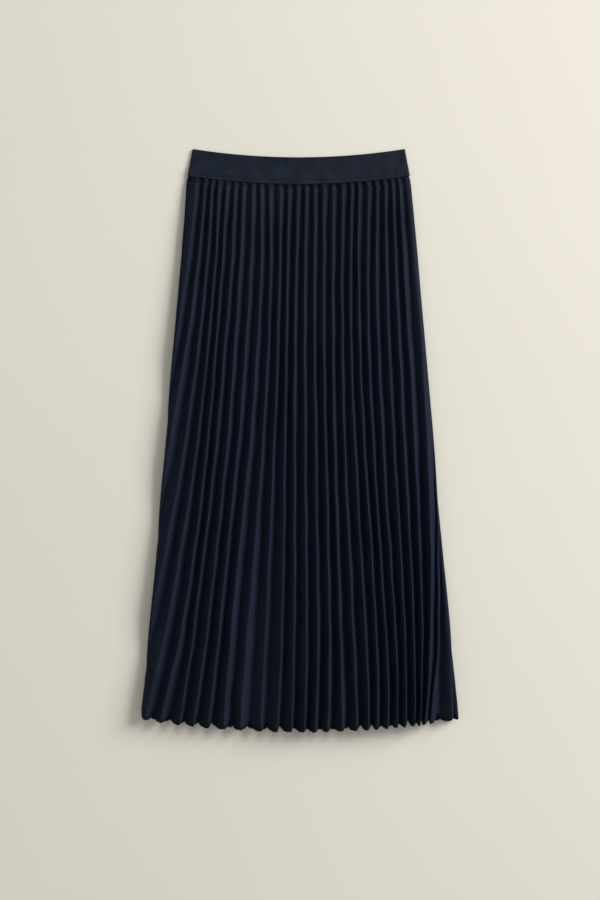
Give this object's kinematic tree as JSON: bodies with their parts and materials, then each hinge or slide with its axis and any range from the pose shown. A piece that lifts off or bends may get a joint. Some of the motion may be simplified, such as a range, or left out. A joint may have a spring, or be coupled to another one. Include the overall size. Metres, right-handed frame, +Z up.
{
  "type": "pleated midi skirt",
  "caption": "Sunray-pleated navy midi skirt with a flat elastic waistband, laid flat with its front up.",
  "frame": {"origin": "on the surface the skirt lies on, under the middle of its bounding box", "axes": "+Z up out of the skirt's front, +Y from the hem to the waist, +X to the right of a viewer looking down"},
  "size_m": [0.4616, 0.8493, 0.0272],
  "materials": {
    "pleated_cloth": "navy polyester crepe with a soft sheen",
    "elastic": "navy woven elastic, smooth, slightly lighter than the cloth"
  },
  "bodies": {
    "root": {"skirt_front": "pleated_cloth", "skirt_back": "pleated_cloth", "waistband": "elastic"}
  },
  "joints": []
}
